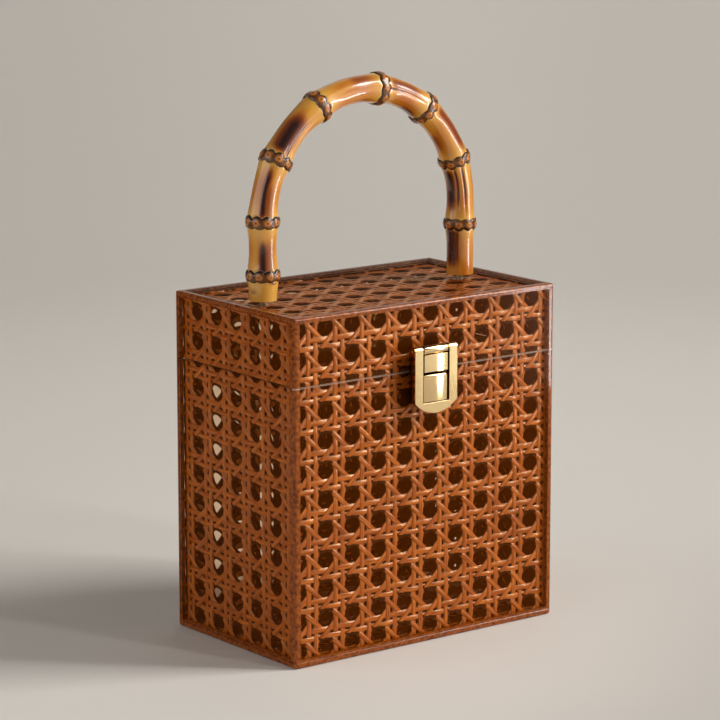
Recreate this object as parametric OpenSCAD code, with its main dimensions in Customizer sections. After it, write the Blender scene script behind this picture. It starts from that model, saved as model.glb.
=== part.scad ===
// Box bag: a clear glued-up box faced inside with six-way woven cane, a hinged lid,
// a bent bamboo root handle and a swing hasp. Front face towards -Y, base on z = 0.

/* [Box] */
// Outside width of the box
box_w = 150; // [120:1:200]
// Outside depth of the box, front to back
box_d = 92; // [80:1:130]
// Height of the closed box without the handle
box_h = 158.8; // [140:0.2:200]
// Height of the lid
lid_h = 31.5; // [29:0.5:45]
// Thickness of the clear wall, lid and top sheets
sheet_t = 2; // [1.8:0.1:3]
// Thickness of the clear base sheet
base_t = 3; // [2:0.1:4]
// Rounding of the outside edges
edge_r = 1.5; // [0.5:0.1:1.7]
// Gap between the lid and the body
seam_gap = 0.2; // [0.1:0.05:0.4]

/* [Cane] */
// Distance between columns of openings
cane_pitch_w = 14.95; // [13.5:0.05:17]
// Distance between rows of openings
cane_pitch_h = 13.56; // [13:0.02:16]
// Opening across its flats
cane_hole = 7.7; // [6:0.1:8]
// Width of one strand
strand_w = 2.4; // [1.6:0.1:2.5]
// Thickness of one strand
strand_t = 0.5; // [0.3:0.05:0.8]
// Thickness of the mat between the raised strands
mat_core_t = 1; // [0.6:0.1:1.6]
// Trim gap around a mat
mat_trim = 0.1; // [0.05:0.05:0.3]
// Column of openings nearest the middle of the front and back
front_column = 3.8; // [-7:0.1:7]
// Column of openings nearest the middle of the left side
left_column = 2.2; // [-7:0.1:7]
// Column of openings nearest the middle of the right side
right_column = 6; // [-7:0.1:7]
// Height of the lowest row of openings on the body's front and left side
body_row = 6.6; // [5:0.1:14]
// Height of the lowest row of openings on the body's back
back_row = 1.1; // [-4:0.1:14]
// Height of the lowest row of openings on the body's right side
right_row = 10; // [5:0.1:14]
// Depth of the lid's upper row of openings below the top, at the front
lid_row_drop = 6.2; // [5:0.1:14]
// Depth of the lid's upper row of openings below the top, at the sides and back
lid_side_row_drop = 8.5; // [5:0.1:14]

/* [Bamboo handle] */
// Distance from the side of the box to the centre of a foot
handle_inset = 17.7; // [14:0.1:25]
// Height of the straight part of each leg
handle_leg = 34.2; // [25:0.2:50]
// Distance of the handle behind the middle of the lid
handle_back = 1.5; // [0:0.5:8]
// Thickness half-way between two node rings
bamboo_d = 12.6; // [11:0.1:16]
// Extra thickness of the swelling beside a node ring
bamboo_flare = 1.7; // [0:0.1:3]
// Extra thickness of the ring itself
bamboo_ring = 1.4; // [0:0.1:2]
// Length of the swelling on each side of a node ring
bamboo_flare_l = 6; // [4:0.5:8]
// Width of a node ring
bamboo_ring_w = 4.4; // [3:0.2:6]
// Diameter of the screws in the feet
handle_screw_d = 3.5; // [2.5:0.1:4]
// Depth of the screws in the feet
handle_screw_grip = 14; // [8:0.5:18]
// Diameter of a screw's washer
washer_d = 10; // [8:0.5:14]
// Thickness of a screw's washer
washer_t = 0.8; // [0.5:0.1:1.5]

/* [Hasp] */
// Width of the swinging lever
lever_w = 24.2; // [20:0.2:30]
// Width of one leg of the lever
lever_leg = 4.5; // [3.5:0.1:6]
// Thickness of the lever
lever_t = 2.4; // [1.6:0.1:3]
// Height of the lever above the seam
lever_above = 12.1; // [11:0.1:16]
// Reach of the lever below the seam
lever_below = 18.9; // [17:0.1:26]
// Height of the lever's rounded tip
lever_tip = 5.5; // [3:0.1:7]
// Thickness of the hasp's base plates
plate_t = 1.5; // [1:0.1:2]
// How far the base plates stay inside the lever's sides
plate_inset = 1.1; // [0.5:0.1:2]
// Gap between a leg of the lever and the blocks in its window
block_gap = 0.9; // [0.3:0.1:1.5]
// Height of the knuckle block's face from its plate
block_t = 3; // [2:0.1:3.6]
// Height of the catch's face from its plate
catch_t = 1.7; // [1.2:0.1:1.8]
// Rounding at the top of the catch
catch_round = 2.2; // [1:0.1:3]
// Diameter of the hasp's pin
hasp_pin_d = 1.6; // [1.2:0.1:2]

/* [Hinges] */
// Distance from the side of the box to the middle of a hinge
hinge_inset = 30; // [20:0.5:40]
// Width of one hinge
hinge_w = 24; // [20:0.5:30]
// Reach of each leaf from the pin
leaf_h = 10.6; // [9.5:0.1:14]
// Thickness of a leaf
leaf_t = 1; // [0.8:0.1:1.2]
// Diameter of the barrel
barrel_d = 3.8; // [3.4:0.1:5]
// Diameter of the hinge pin
hinge_pin_d = 1.8; // [1.2:0.1:2]
// Depth of a stop lug
lug_t = 1.7; // [1.2:0.1:2.5]
// Opening angle at which the two stop lugs meet
lid_open = 105; // [90:1:120]

/* [Rivets and clearances] */
// Diameter of a rivet's shank
rivet_d = 1.8; // [1.2:0.1:2.2]
// Diameter of a rivet's head
rivet_head_d = 3.8; // [3:0.1:4.4]
// Height of a rivet's head
rivet_head_h = 1; // [0.6:0.1:1.4]
// Distance of a hasp's rivet from the middle of the hasp
hasp_rivet_x = 4.5; // [3.5:0.1:6]
// Distance of a hinge's rivet from the end of its leaf
hinge_rivet_edge = 5.5; // [4:0.1:7]
// Gap between pieces that move past each other
play = 0.3; // [0.25:0.05:0.4]
// Radial clearance of a turning bore on its pin
pin_play = 0.05; // [0.03:0.01:0.08]

/* [Hidden] */
$fn = 48;

CLEAR = [0.86, 0.78, 0.68, 0.3];
CANE = [0.62, 0.34, 0.12];
BAMBOO = [0.80, 0.55, 0.20];
GOLD = [0.90, 0.76, 0.46];
STEEL = [0.75, 0.74, 0.72];

// Overrun of a cutting tool past the face that it cuts
cut_over = 1;
seam_z = box_h - lid_h;
body_top = seam_z - seam_gap / 2;
lid_bottom = seam_z + seam_gap / 2;
front_y = -box_d / 2;
mat_t = mat_core_t + 2 * strand_t;
wall_t = sheet_t + mat_t;

// One row of openings of the lid's mats and of the level mats
lid_row = box_h - lid_row_drop;
lid_side_row = box_h - lid_side_row_drop;
top_row = handle_back + cane_pitch_h / 2;

// Inside the clear sheets, where the mats lie
in_w = box_w - 2 * sheet_t - 2 * mat_trim;
in_d = box_d - 2 * wall_t - 2 * mat_trim;
body_mat_z = [base_t + mat_trim, body_top - mat_trim];
lid_mat_z = [lid_bottom + mat_trim, box_h - sheet_t - mat_trim];

// Box: a rounded outside form, cut into sheets
module rounded_prism(a, b, h) {
    translate([0, edge_r, 0]) cube([a, b - 2 * edge_r, h]);
    translate([edge_r, 0, 0]) cube([a - 2 * edge_r, b, h]);
    for (x = [edge_r, a - edge_r], y = [edge_r, b - edge_r]) translate([x, y, 0]) cylinder(r = edge_r, h = h);
}

module box_form() {
    translate([-box_w / 2, front_y, 0]) intersection() {
        rounded_prism(box_w, box_d, box_h);
        translate([0, box_d, 0]) rotate([90, 0, 0]) rounded_prism(box_w, box_h, box_d);
        rotate([90, 0, 90]) rounded_prism(box_d, box_h, box_w);
    }
}

// The sheet of the box between two corners of a block
module sheet(low, high) {
    intersection() {
        box_form();
        translate(low) cube(high - low);
    }
}

module front_sheet(z0, z1) {
    sheet([-box_w / 2, front_y, z0], [box_w / 2, front_y + sheet_t, z1]);
}

module back_sheet(z0, z1) {
    sheet([-box_w / 2, box_d / 2 - sheet_t, z0], [box_w / 2, box_d / 2, z1]);
}

module left_sheet(z0, z1) {
    sheet([-box_w / 2, front_y + sheet_t, z0], [sheet_t - box_w / 2, box_d / 2 - sheet_t, z1]);
}

module right_sheet(z0, z1) {
    sheet([box_w / 2 - sheet_t, front_y + sheet_t, z0], [box_w / 2, box_d / 2 - sheet_t, z1]);
}

// Cane: strands run in pairs between the openings, the upright ones raised on the outer face
// and the level ones on the inner face, and slanting strands cross over the upright pairs
strand_edge = 0.3;
strand_ledge = 0.15;
// Height of an upright pair, which the slanting strands cross over
under_t = strand_t / 2;

function strand_offset(pitch) = (pitch - cane_hole) / 2 - strand_ledge - strand_w / 2;

function strand_spans(low, high, pitch, start) = [
    for (k = [floor((low - start) / pitch) - 1 : ceil((high - start) / pitch)], side = [-1, 1])
        let (middle = start + (k + 0.5) * pitch + side * strand_offset(pitch))
        let (a = max(low + strand_edge, middle - strand_w / 2))
        let (b = min(high - strand_edge, middle + strand_w / 2))
        if (b - a > strand_w / 4) [a, b]
];

function comb(low, high, spans, rise) = concat(
    [[low, 0], [high, 0], [high, mat_core_t / 2]],
    [
        for (i = [len(spans) - 1 : -1 : 0])
            each [
                [spans[i][1], mat_core_t / 2],
                [spans[i][1], mat_core_t / 2 + rise],
                [spans[i][0], mat_core_t / 2 + rise],
                [spans[i][0], mat_core_t / 2]
            ]
    ],
    [[low, mat_core_t / 2]]
);

// Strands midway between the openings, which rise with u where lean is 1 and fall where it is -1
module slanting_strands(u, v, column, row, lean) {
    size = [u[1] - u[0] - 2 * strand_edge, v[1] - v[0] - 2 * strand_edge];
    slant = lean * atan2(cane_pitch_h, cane_pitch_w);
    far = ceil(size[0] / cane_pitch_w + size[1] / cane_pitch_h);
    linear_extrude(mat_core_t / 2 + strand_t) intersection() {
        translate([u[0] + strand_edge, v[0] + strand_edge]) square(size);
        for (k = [-far : far])
            translate([column + (k + 0.5) * cane_pitch_w, row]) rotate(slant)
                square([4 * norm(size), strand_w], center = true);
    }
}

// An eight-sided opening, or a square one where it takes a corner off its mat
module cane_opening(corner) {
    turn = corner ? 45 : 22.5;
    translate([0, 0, -cut_over]) rotate([0, 0, turn])
        cylinder(d = cane_hole / cos(turn), h = mat_t + 2 * cut_over, $fn = corner ? 4 : 8);
}

function cut_by_edge(middle, span) = min([for (edge = span) abs(middle - edge)]) < cane_hole / 2;

// A mat lies in the plane of u and v, with the face that meets the clear sheet at z = 0
module cane_mat(u, v, column, row, lean) {
    upright = strand_spans(u[0], u[1], cane_pitch_w, column);
    level = strand_spans(v[0], v[1], cane_pitch_h, row);
    columns = [ceil((u[0] - column) / cane_pitch_w) : floor((u[1] - column) / cane_pitch_w)];
    rows = [floor((v[0] - row) / cane_pitch_h) : ceil((v[1] - row) / cane_pitch_h)];
    color(CANE) difference() {
        translate([0, 0, mat_t / 2]) union() {
            translate([0, v[1], 0]) mirror([0, 0, 1]) rotate([90, 0, 0])
                linear_extrude(v[1] - v[0]) polygon(comb(u[0], u[1], upright, under_t));
            translate([u[0], 0, 0]) rotate([90, 0, 90])
                linear_extrude(u[1] - u[0]) polygon(comb(v[0], v[1], level, strand_t));
            mirror([0, 0, 1]) slanting_strands(u, v, column, row, lean);
        }
        for (i = columns, j = rows)
            let (x = column + i * cane_pitch_w, y = row + j * cane_pitch_h)
            translate([x, y, 0]) cane_opening(cut_by_edge(x, u) && cut_by_edge(y, v));
    }
}

// Seen from outside, the slanting strands of every mat fall to the right
module left_cane(z, row, column = left_column, lean = 1) {
    translate([sheet_t - box_w / 2, 0, 0]) rotate([90, 0, 90])
        cane_mat([-in_d / 2, in_d / 2], z, column, row, lean);
}

module back_cane(z, row, lean = 1) {
    translate([0, box_d / 2 - sheet_t, 0]) rotate([90, 0, 0])
        cane_mat([-in_w / 2, in_w / 2], z, front_column, row, lean);
}

module front_cane(z, row) {
    mirror([0, 1, 0]) back_cane(z, row, -1);
}

module right_cane(z, row) {
    mirror([1, 0, 0]) left_cane(z, row, right_column, -1);
}

module level_cane(lean) {
    cane_mat([mat_t - in_w / 2, in_w / 2 - mat_t], [-in_d / 2, in_d / 2], front_column, top_row, lean);
}

// Rivets through a wall: heads inside and, on a hinge leaf, outside as well
hinge_rivet_x = hinge_w / 2 - hinge_rivet_edge;
hinge_span = box_w - 2 * hinge_inset;

module domed_head() {
    intersection() {
        cylinder(d = rivet_head_d, h = rivet_head_h);
        translate([0, 0, rivet_head_h - rivet_head_d]) sphere(r = rivet_head_d);
    }
}

module hasp_rivet_places(z) {
    for (side = [-1, 1]) translate([side * hasp_rivet_x, front_y, z]) rotate([90, 0, 0]) children();
}

module hinge_rivet_places(z) {
    for (hinge = [-1, 1], side = [-1, 1])
        translate([hinge * hinge_span / 2 + side * hinge_rivet_x, box_d / 2, z]) rotate([-90, 0, 0]) children();
}

// A hole right through a wall, along the axis that points out of it
module wall_bore(d) {
    translate([0, 0, -wall_t - cut_over]) cylinder(d = d, h = wall_t + 2 * cut_over);
}

module hasp_rivet(seat) {
    color(GOLD) {
        translate([0, 0, -wall_t]) cylinder(d = rivet_d, h = wall_t + seat);
        translate([0, 0, -wall_t]) mirror([0, 0, 1]) domed_head();
    }
}

module hinge_rivet() {
    hasp_rivet(leaf_t);
    color(GOLD) translate([0, 0, leaf_t]) domed_head();
}

// Body of the box
module body_front_panel() {
    color(CLEAR) difference() {
        front_sheet(base_t, body_top);
        hasp_rivet_places(seam_z - rivet_rise) wall_bore(rivet_d);
    }
}

module body_back_panel() {
    color(CLEAR) difference() {
        back_sheet(base_t, body_top);
        hinge_rivet_places(seam_z - rivet_rise) wall_bore(rivet_d);
    }
}

module body_left_panel() {
    color(CLEAR) left_sheet(base_t, body_top);
}

module body_right_panel() {
    color(CLEAR) right_sheet(base_t, body_top);
}

module body_base_panel() {
    color(CLEAR) sheet([-box_w / 2, front_y, 0], [box_w / 2, box_d / 2, base_t]);
}

module body_front_cane() {
    color(CANE) difference() {
        front_cane(body_mat_z, body_row);
        hasp_rivet_places(seam_z - rivet_rise) wall_bore(rivet_d);
    }
}

module body_back_cane() {
    color(CANE) difference() {
        back_cane(body_mat_z, back_row);
        hinge_rivet_places(seam_z - rivet_rise) wall_bore(rivet_d);
    }
}

module body_left_cane() {
    left_cane(body_mat_z, body_row);
}

module body_right_cane() {
    right_cane(body_mat_z, right_row);
}

module body_base_cane() {
    translate([0, 0, base_t]) level_cane(1);
}

// Lid
module lid_front_panel() {
    color(CLEAR) difference() {
        front_sheet(lid_bottom, box_h - sheet_t);
        hasp_rivet_places(seam_z + rivet_rise) wall_bore(rivet_d);
    }
}

module lid_back_panel() {
    color(CLEAR) difference() {
        back_sheet(lid_bottom, box_h - sheet_t);
        hinge_rivet_places(seam_z + rivet_rise) wall_bore(rivet_d);
    }
}

module lid_left_panel() {
    color(CLEAR) left_sheet(lid_bottom, box_h - sheet_t);
}

module lid_right_panel() {
    color(CLEAR) right_sheet(lid_bottom, box_h - sheet_t);
}

module lid_top_panel() {
    color(CLEAR) difference() {
        sheet([-box_w / 2, front_y, box_h - sheet_t], [box_w / 2, box_d / 2, box_h]);
        handle_feet() wall_bore(handle_screw_d);
    }
}

module lid_front_cane() {
    color(CANE) difference() {
        front_cane(lid_mat_z, lid_row);
        hasp_rivet_places(seam_z + rivet_rise) wall_bore(rivet_d);
    }
}

module lid_back_cane() {
    color(CANE) difference() {
        back_cane(lid_mat_z, lid_side_row);
        hinge_rivet_places(seam_z + rivet_rise) wall_bore(rivet_d);
    }
}

module lid_left_cane() {
    left_cane(lid_mat_z, lid_side_row);
}

module lid_right_cane() {
    right_cane(lid_mat_z, lid_side_row);
}

module lid_top_cane() {
    color(CANE) difference() {
        translate([0, 0, box_h - sheet_t]) mirror([0, 0, 1]) level_cane(-1);
        handle_feet() wall_bore(handle_screw_d);
    }
}

// Bamboo handle: one root cane bent into an arch, swept along its centre line
arch_r = box_w / 2 - handle_inset;
arch_l = PI * arch_r;
cane_l = arch_l + 2 * handle_leg;
bamboo_sides = 20;
// Share of the cane's length at which each node ring lies, from the left foot
ring_shares = [0.045, 0.143, 0.256, 0.388, 0.531, 0.649, 0.777, 0.903];

module handle_feet() {
    for (side = [-1, 1]) translate([side * arch_r, handle_back, box_h]) children();
}

// Turning angle of the centre line at a length s from the left foot
function arch_angle(s) = min(180, max(0, (s - handle_leg) / arch_r * 180 / PI));

function arch_point(s) =
    let (angle = arch_angle(s))
    let (leg = min(s, handle_leg, cane_l - s))
    [-arch_r * cos(angle), box_h + leg + arch_r * sin(angle)];

function ring_distance(s) = min([for (share = ring_shares) abs(s - share * cane_l)]);

function bamboo_r(s) =
    let (d = ring_distance(s))
    let (ring = d < bamboo_ring_w / 2 ? 0.5 + 0.5 * cos(360 * d / bamboo_ring_w) : 0)
    bamboo_d / 2 + bamboo_flare / 2 * exp(-pow(d / bamboo_flare_l, 2)) + bamboo_ring / 2 * ring;

// Sections lie close together at a node ring and wide apart between two rings
ring_steps = [for (f = [-2.4, -1.4, -1, -0.5, 0, 0.5, 1, 1.4, 2.4]) f * bamboo_ring_w / 2];
ring_marks = concat([0], [for (share = ring_shares) share * cane_l], [cane_l]);
between_shares = [0.36, 0.5, 0.64];
bamboo_stations = concat(
    [for (i = [0 : len(ring_marks) - 2])
        each concat(
            [for (step = ring_steps) if (i > 0) ring_marks[i] + step],
            i > 0 && i < len(ring_marks) - 2
                ? [for (f = between_shares) ring_marks[i] + f * (ring_marks[i + 1] - ring_marks[i])]
                : i == 0 ? [0] : []
        )],
    [cane_l - handle_leg / 3, cane_l]
);

function bamboo_section(s) =
    let (p = arch_point(s))
    let (angle = arch_angle(s))
    let (r = bamboo_r(s))
    [
        for (k = [0 : bamboo_sides - 1])
            let (turn = 360 * k / bamboo_sides)
            [p[0] - r * cos(turn) * cos(angle), handle_back + r * sin(turn), p[1] + r * cos(turn) * sin(angle)]
    ];

module bamboo_sweep(stations) {
    n = bamboo_sides;
    last = len(stations) - 1;
    points = [for (s = stations) each bamboo_section(s)];
    skin = [
        for (i = [0 : last - 1], k = [0 : n - 1])
            let (a = i * n + k, b = i * n + (k + 1) % n)
            each [[a, b, b + n], [a, b + n, a + n]]
    ];
    ends = [[for (k = [n - 1 : -1 : 0]) k], [for (k = [0 : n - 1]) last * n + k]];
    polyhedron(points, concat(skin, ends));
}

module bamboo_handle() {
    color(BAMBOO) difference() {
        bamboo_sweep(bamboo_stations);
        handle_feet() translate([0, 0, -cut_over]) cylinder(d = handle_screw_d, h = handle_screw_grip + cut_over);
    }
}

screw_head_d = 2 * handle_screw_d;
screw_head_h = 0.6 * handle_screw_d;

module handle_screws() {
    color(STEEL) handle_feet() {
        translate([0, 0, -wall_t - washer_t]) cylinder(d = handle_screw_d, h = wall_t + washer_t + handle_screw_grip);
        translate([0, 0, -wall_t - washer_t - screw_head_h]) cylinder(d = screw_head_d, h = screw_head_h);
    }
}

module handle_washers() {
    color(STEEL) handle_feet() translate([0, 0, -wall_t - washer_t]) difference() {
        cylinder(d = washer_d, h = washer_t);
        translate([0, 0, -cut_over]) cylinder(d = handle_screw_d, h = washer_t + 2 * cut_over);
    }
}

// Hasp: a U-shaped lever hangs from the lid's knuckle and frames the catch on the body
knuckle_r = 2.1;
pivot_out = plate_t + play + knuckle_r;
pivot_z = seam_z + lever_above - knuckle_r;
lever_front = pivot_out + knuckle_r;
lever_back = lever_front - lever_t;
window_w = lever_w - 2 * lever_leg;
block_w = window_w - 2 * block_gap;
plate_w = lever_w - 2 * plate_inset;
tip_z = seam_z - lever_below;
// Rim that the lever's tip and the catch's plate show beside the catch
hasp_rim = 0.6;
sill_z = tip_z + lever_tip - hasp_rim;
catch_low = sill_z + play;
tip_r = (pow(lever_w / 2, 2) + pow(lever_tip, 2)) / (2 * lever_tip);
plate_low = catch_low - hasp_rim;

// A block across the hasp, given by its width and its reach out of the front face
module hasp_block(w, out, z) {
    translate([-w / 2, front_y - out[1], z[0]]) cube([w, out[1] - out[0], z[1] - z[0]]);
}

module hasp_axle(d, w) {
    translate([-w / 2, front_y - pivot_out, pivot_z]) rotate([0, 90, 0]) cylinder(d = d, h = w);
}

module hasp_lid_plate() {
    color(GOLD) difference() {
        union() {
            hasp_block(plate_w, [0, plate_t], [lid_bottom, pivot_z]);
            hasp_block(block_w, [0, plate_t + block_t], [lid_bottom, pivot_z]);
            hasp_axle(2 * knuckle_r, block_w);
        }
        hasp_axle(hasp_pin_d, lever_w);
        hasp_rivet_places(seam_z + rivet_rise) translate([0, 0, -cut_over])
            cylinder(d = rivet_d, h = plate_t + cut_over);
    }
}

module lever_tip_form() {
    intersection() {
        hasp_block(lever_w, [lever_back, lever_front], [tip_z, tip_z + lever_tip]);
        translate([0, front_y - lever_back, tip_z + tip_r]) rotate([90, 0, 0]) cylinder(r = tip_r, h = lever_t);
    }
}

module hasp_lever() {
    color(GOLD) difference() {
        union() {
            hasp_axle(2 * knuckle_r, lever_w);
            hasp_block(lever_w, [lever_back, lever_front], [tip_z + lever_tip, pivot_z]);
            lever_tip_form();
        }
        hasp_block(window_w, [0, lever_front + cut_over], [sill_z, pivot_z + knuckle_r + cut_over]);
        hasp_axle(hasp_pin_d + 2 * pin_play, lever_w + 2 * cut_over);
    }
}

module hasp_pin() {
    color(GOLD) hasp_axle(hasp_pin_d, lever_w);
}

module hasp_catch() {
    face = plate_t + catch_t;
    color(GOLD) difference() {
        union() {
            hasp_block(plate_w, [0, plate_t], [plate_low, body_top]);
            hasp_block(block_w, [0, face], [catch_low, body_top - catch_round]);
            hasp_block(block_w, [0, face - catch_round], [catch_low, body_top]);
            translate([-block_w / 2, front_y - face + catch_round, body_top - catch_round]) rotate([0, 90, 0])
                cylinder(r = catch_round, h = block_w);
        }
        hasp_rivet_places(seam_z - rivet_rise) translate([0, 0, -cut_over])
            cylinder(d = rivet_d, h = plate_t + cut_over);
        translate([-block_w, front_y, catch_low]) cube([2 * block_w, 2 * catch_round, lever_below]);
    }
}

module hasp_lid_rivets() {
    hasp_rivet_places(seam_z + rivet_rise) hasp_rivet(plate_t);
}

module hasp_catch_rivets() {
    hasp_rivet_places(seam_z - rivet_rise) hasp_rivet(plate_t);
}

// Hinges: stop hinges on the back, with the pin just behind the wall at the seam
barrel_r = barrel_d / 2;
axis_y = box_d / 2 + barrel_r + play;
leaf_relief = barrel_r + play;
side_knuckle = hinge_w * 0.3;
middle_knuckle = hinge_w - 2 * side_knuckle - 2 * play;
leaf_face = leaf_t - leaf_relief;
// Wall of a knuckle's tongue over the pin
tongue_wall = 0.4;
// The stop lugs' faces, a little apart at the end of the travel
stop_slack = 0.5;
stop_angle = lid_open / 2 + stop_slack;
lug_inner = leaf_relief + play;
lug_outer = lug_inner + lug_t;
lug_top = lug_outer * sin(stop_angle) + leaf_t;
// Distance of every rivet from the seam, where its head clears the lugs
rivet_rise = lug_top + play + rivet_head_d / 2;

module hinge_axle(d, x0, w) {
    translate([x0, 0, 0]) rotate([0, 90, 0]) cylinder(d = d, h = w);
}

// A knuckle with the tongue that joins it to its leaf above the pin
module knuckle(x0, w) {
    hinge_axle(barrel_d, x0, w);
    translate([x0, -leaf_relief, 0]) cube([w, leaf_t, leaf_relief]);
    translate([x0, -leaf_relief, 0]) cube([w, leaf_relief, hinge_pin_d / 2 + tongue_wall]);
}

module stop_lug() {
    face = [for (r = [lug_inner, lug_outer]) [r * cos(stop_angle), r * sin(stop_angle)]];
    root = [leaf_face - leaf_t / 2, lug_inner];
    translate([-hinge_w / 2, 0, 0]) rotate([90, 0, 90]) linear_extrude(hinge_w)
        polygon([root, face[0], face[1], [root[0], lug_top]]);
}

// The leaf of the lid, about its pin, with its knuckles given as starts and widths
module leaf(knuckles, bore_d) {
    color(GOLD) difference() {
        union() {
            translate([-hinge_w / 2, -leaf_relief, leaf_relief]) cube([hinge_w, leaf_t, leaf_h - leaf_relief]);
            for (k = knuckles) knuckle(k[0], k[1]);
            stop_lug();
        }
        hinge_axle(bore_d, -hinge_w, 2 * hinge_w);
        for (side = [-1, 1]) translate([side * hinge_rivet_x, leaf_face + cut_over, rivet_rise]) rotate([90, 0, 0])
            cylinder(d = rivet_d, h = leaf_t + 2 * cut_over);
    }
}

module at_hinge(side) {
    translate([side * hinge_span / 2, axis_y, seam_z]) children();
}

module lid_leaf(side) {
    at_hinge(side) leaf([[-middle_knuckle / 2, middle_knuckle]], hinge_pin_d + 2 * pin_play);
}

module body_leaf(side) {
    at_hinge(side) mirror([0, 0, 1])
        leaf([[-hinge_w / 2, side_knuckle], [hinge_w / 2 - side_knuckle, side_knuckle]], hinge_pin_d);
}

module hinge_pin(side) {
    color(GOLD) at_hinge(side) hinge_axle(hinge_pin_d, -hinge_w / 2, hinge_w);
}

module hinge_left_body_leaf() {
    body_leaf(-1);
}

module hinge_left_lid_leaf() {
    lid_leaf(-1);
}

module hinge_left_pin() {
    hinge_pin(-1);
}

module hinge_right_body_leaf() {
    body_leaf(1);
}

module hinge_right_lid_leaf() {
    lid_leaf(1);
}

module hinge_right_pin() {
    hinge_pin(1);
}

module hinge_body_rivets() {
    hinge_rivet_places(seam_z - rivet_rise) hinge_rivet();
}

module hinge_lid_rivets() {
    hinge_rivet_places(seam_z + rivet_rise) hinge_rivet();
}

body_front_panel();
body_back_panel();
body_left_panel();
body_right_panel();
body_base_panel();
body_front_cane();
body_back_cane();
body_left_cane();
body_right_cane();
body_base_cane();
lid_front_panel();
lid_back_panel();
lid_left_panel();
lid_right_panel();
lid_top_panel();
lid_front_cane();
lid_back_cane();
lid_left_cane();
lid_right_cane();
lid_top_cane();
bamboo_handle();
handle_screws();
handle_washers();
hasp_lid_plate();
hasp_lever();
hasp_pin();
hasp_catch();
hasp_lid_rivets();
hasp_catch_rivets();
hinge_left_body_leaf();
hinge_left_lid_leaf();
hinge_left_pin();
hinge_right_body_leaf();
hinge_right_lid_leaf();
hinge_right_pin();
hinge_body_rivets();
hinge_lid_rivets();
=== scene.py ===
# %% [markdown]
# # A clear box bag faced with woven cane
# The bag is a small glued box of clear sheet. Behind every sheet lies a mat of six-way cane, the
# lid carries a bent bamboo handle, and a gold hasp closes the front. The CAD model already holds
# every piece at its size and place, so this lesson only gives the pieces their looks. Lengths here
# are in metres, and MM lets them be written in millimetres.

# %% Load the frame
import math
import random

import bmesh
import bpy
from mathutils import Matrix, Vector, noise


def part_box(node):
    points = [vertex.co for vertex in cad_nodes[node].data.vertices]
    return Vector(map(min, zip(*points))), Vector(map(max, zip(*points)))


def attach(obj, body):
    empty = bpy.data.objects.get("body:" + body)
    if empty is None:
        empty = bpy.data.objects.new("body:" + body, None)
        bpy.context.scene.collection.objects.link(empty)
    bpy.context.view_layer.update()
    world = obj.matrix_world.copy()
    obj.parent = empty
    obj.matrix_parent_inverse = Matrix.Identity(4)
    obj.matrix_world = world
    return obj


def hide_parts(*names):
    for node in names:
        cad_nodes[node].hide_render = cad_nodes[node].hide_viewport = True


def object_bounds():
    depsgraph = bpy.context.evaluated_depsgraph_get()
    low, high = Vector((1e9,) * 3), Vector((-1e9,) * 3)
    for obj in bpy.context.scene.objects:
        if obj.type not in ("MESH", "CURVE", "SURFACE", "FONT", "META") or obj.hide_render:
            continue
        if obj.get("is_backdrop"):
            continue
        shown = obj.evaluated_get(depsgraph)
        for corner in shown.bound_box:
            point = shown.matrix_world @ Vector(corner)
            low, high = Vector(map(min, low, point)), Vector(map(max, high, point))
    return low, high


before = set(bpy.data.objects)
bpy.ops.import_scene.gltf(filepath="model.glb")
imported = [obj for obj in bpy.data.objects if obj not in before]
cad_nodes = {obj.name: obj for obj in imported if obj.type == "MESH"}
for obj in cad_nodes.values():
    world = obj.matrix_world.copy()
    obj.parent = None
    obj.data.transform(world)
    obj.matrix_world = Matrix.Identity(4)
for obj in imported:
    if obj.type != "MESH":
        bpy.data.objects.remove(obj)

MM = 0.001
cad_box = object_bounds()
box_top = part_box("lid_top_panel")[1].z
half_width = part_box("body_front_panel")[1].x
half_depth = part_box("body_back_panel")[1].y
print(f"{len(cad_nodes)} CAD nodes, the closed box is {box_top / MM:.1f} mm high")

# %% [markdown]
# ## The camera
# A long lens far away keeps the box's upright edges parallel, as in a product photograph. The
# camera stands to the left of the front, a little above the lid. Shift slides the picture without
# turning the camera, so the uprights stay upright.

# %% Place the camera
CAMERA_AZIMUTH = math.radians(-37.8)
CAMERA_ELEVATION = math.radians(10.62)
CAMERA_DISTANCE = 1.4943
CAMERA_TARGET = Vector((0, 0, 145.3 * MM))
LENS_LENGTH, SENSOR_WIDTH = 161.9, 36
LENS_SHIFT = (-0.0079, -0.0620)


def direction(azimuth, elevation):
    """A unit vector from the object to a place round it: 0 is in front, 90 degrees to the right."""
    level = math.cos(elevation)
    return Vector((math.sin(azimuth) * level, -math.cos(azimuth) * level, math.sin(elevation)))


def aimed(name, data, place, target):
    """Adds a camera or a lamp at a place, turned to look at the target."""
    thing = bpy.data.objects.new(name, data)
    thing.location = place
    thing.rotation_euler = (target - place).to_track_quat("-Z", "Y").to_euler()
    bpy.context.scene.collection.objects.link(thing)
    return thing


lens = bpy.data.cameras.new("camera")
lens.lens, lens.sensor_width = LENS_LENGTH, SENSOR_WIDTH
lens.shift_x, lens.shift_y = LENS_SHIFT
camera_place = CAMERA_TARGET + CAMERA_DISTANCE * direction(CAMERA_AZIMUTH, CAMERA_ELEVATION)
bpy.context.scene.camera = aimed("camera", lens, camera_place, CAMERA_TARGET)
bpy.context.scene.view_settings.view_transform = "Standard"
print("camera at", [round(c, 3) for c in camera_place])

# %% [markdown]
# ## Materials as arithmetic
# A material is a tree of nodes. Written node by node it is hard to read, so a Wire wraps one output
# socket and lets Python's own signs add the Math nodes: `1 - mask` is then a Subtract node. A Finish
# holds one material and makes every other node by its type, its settings and its inputs.


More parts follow.
